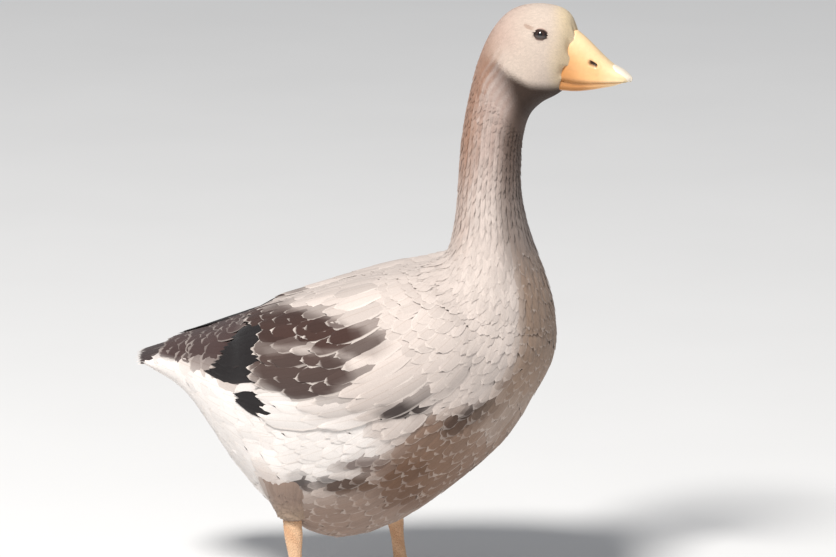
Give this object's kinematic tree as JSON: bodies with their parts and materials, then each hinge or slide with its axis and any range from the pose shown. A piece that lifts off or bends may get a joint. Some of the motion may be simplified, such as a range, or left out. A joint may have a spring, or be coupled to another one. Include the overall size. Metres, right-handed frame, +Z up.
{
  "type": "domestic goose",
  "caption": "Life-size standing goose with upright neck, orange bill, folded wings and webbed feet, caught in mid-step.",
  "frame": {"origin": "on the floor, under the middle of the bird's box", "axes": "+X towards the bill, +Y to the bird's left, +Z up"},
  "size_m": [0.562, 0.2598, 0.6705],
  "materials": {
    "plumage": "pale grey-buff vaned feathers with brown markings, matt",
    "quills": "dark brown flight quills, satin",
    "bill": "smooth waxy orange horn",
    "bill_nail": "pale horn, slightly glossy",
    "eye": "wet dark brown, glossy",
    "leg_skin": "orange scaled skin, matt",
    "claw": "horn, slightly glossy"
  },
  "bodies": {
    "root": {"head": "plumage", "neck": "plumage", "trunk": "plumage", "tail": "plumage", "thigh_right": "plumage", "thigh_left": "plumage", "wing_arm_right": "plumage", "wing_arm_left": "plumage", "wing_hand_right": "quills", "wing_hand_left": "quills", "bill_upper": "bill", "bill_lower": "bill", "bill_nail": "bill_nail", "eye_right": "eye", "eye_left": "eye", "shank_right": "leg_skin", "shank_left": "leg_skin", "foot_right": "leg_skin", "foot_left": "leg_skin", "claw_right_inner": "claw", "claw_right_middle": "claw", "claw_right_outer": "claw", "claw_right_hind": "claw", "claw_left_inner": "claw", "claw_left_middle": "claw", "claw_left_outer": "claw", "claw_left_hind": "claw"}
  },
  "joints": []
}
